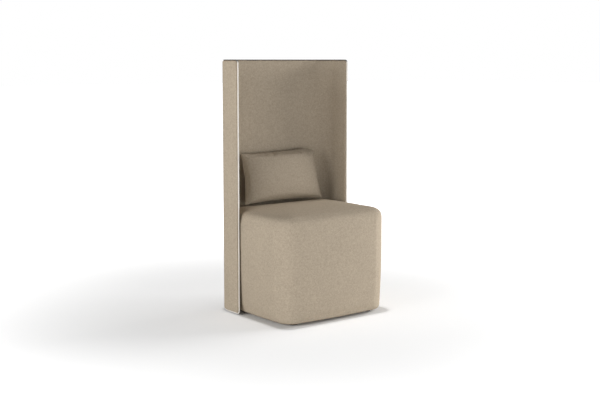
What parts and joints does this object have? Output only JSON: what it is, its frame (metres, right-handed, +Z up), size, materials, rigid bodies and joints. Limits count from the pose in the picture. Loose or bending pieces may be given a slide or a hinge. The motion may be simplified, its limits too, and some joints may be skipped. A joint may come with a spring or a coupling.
{
  "type": "high back lounge chair",
  "caption": "One-seat lounge chair: upholstered block seat on low glides, wrapped at the back and sides by a tall U-shaped acoustic screen edged with piping, with a loose lumbar pillow.",
  "frame": {"origin": "on the floor under the middle of the chair's bounding box", "axes": "+Z up, the sitter faces -Y, +X to the right of a viewer who faces the seat front"},
  "size_m": [0.64, 0.512, 1.155],
  "materials": {
    "upholstery": "woven, mottled beige, matt",
    "piping": "pale cord, satin",
    "plywood": "bare birch plywood",
    "hardwood": "bare beech",
    "foam": "open-cell foam, matt",
    "pillow_fill": "fibre fill, matt",
    "webbing": "elastic webbing, matt",
    "dust_cloth": "non-woven cloth, matt",
    "spacer": "moulded, matt",
    "glide": "moulded, matt",
    "zip": "nylon coil, matt",
    "fixings": "zinc plated"
  },
  "bodies": {
    "chair": {"screen_core": "plywood", "screen_inner_foam": "foam", "screen_outer_foam": "foam", "screen_outer_cover": "upholstery", "screen_inner_cover": "upholstery", "screen_piping": "piping", "screen_tee_nuts": "fixings", "screen_bolts": "fixings", "screen_washers": "fixings", "screen_spacers": "spacer", "base_board": "plywood", "front_rail": "plywood", "rear_rail": "plywood", "left_rail": "plywood", "right_rail": "plywood", "corner_blocks": "hardwood", "webbing_cross": "webbing", "webbing_long": "webbing", "seat_foam": "foam", "front_pad": "foam", "rear_pad": "foam", "left_pad": "foam", "right_pad": "foam", "seat_cover": "upholstery", "bottom_cloth": "dust_cloth", "foot_front_left": "glide", "foot_front_right": "glide", "foot_rear_left": "glide", "foot_rear_right": "glide", "foot_screws": "fixings"},
    "pillow": {"pillow_cover": "upholstery", "pillow_fill": "pillow_fill", "pillow_zip": "zip"}
  },
  "joints": [
    {"name": "pillow_lift", "type": "slide", "parent": "chair", "child": "pillow", "axis": [0, -0.6, 0.8], "range_m": [0, 0.6]}
  ]
}
